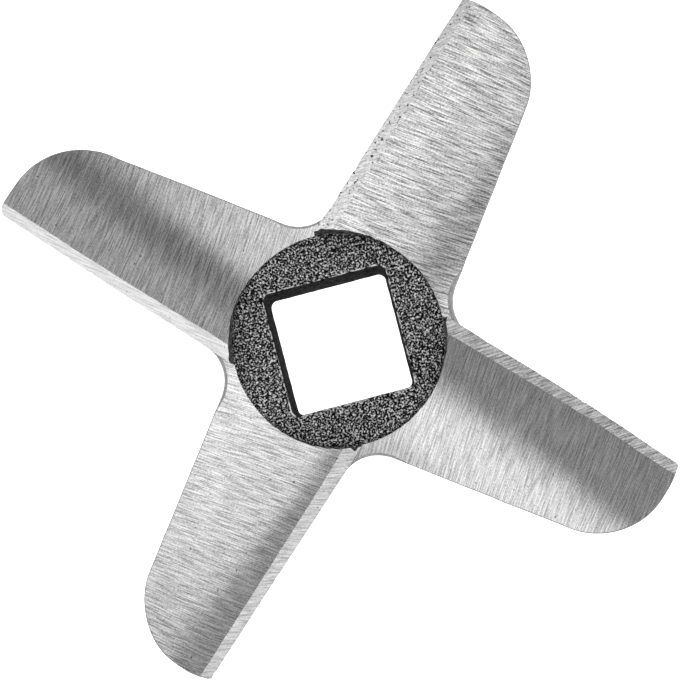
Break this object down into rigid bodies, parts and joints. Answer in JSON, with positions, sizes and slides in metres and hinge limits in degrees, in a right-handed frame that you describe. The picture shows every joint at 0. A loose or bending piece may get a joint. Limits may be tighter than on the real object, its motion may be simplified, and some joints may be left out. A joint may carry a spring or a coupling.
{
  "type": "meat grinder knife",
  "caption": "Cross-shaped meat grinder knife: broad hollow-ground blades with narrow cutting lands round a recessed cast hub with a square drive hole.",
  "frame": {"origin": "centre of the hub's rear face, on the spindle axis", "axes": "+Z along the spindle axis towards the hole plate; X and Y parallel to the square hole's sides; the blades lead counter-clockwise seen from +Z"},
  "size_m": [0.0758, 0.0758, 0.0145],
  "materials": {
    "ground_steel": "cast carbon steel, belt-ground on the plate side, dark as-cast hub"
  },
  "bodies": {
    "root": {"knife": "ground_steel"}
  },
  "joints": []
}
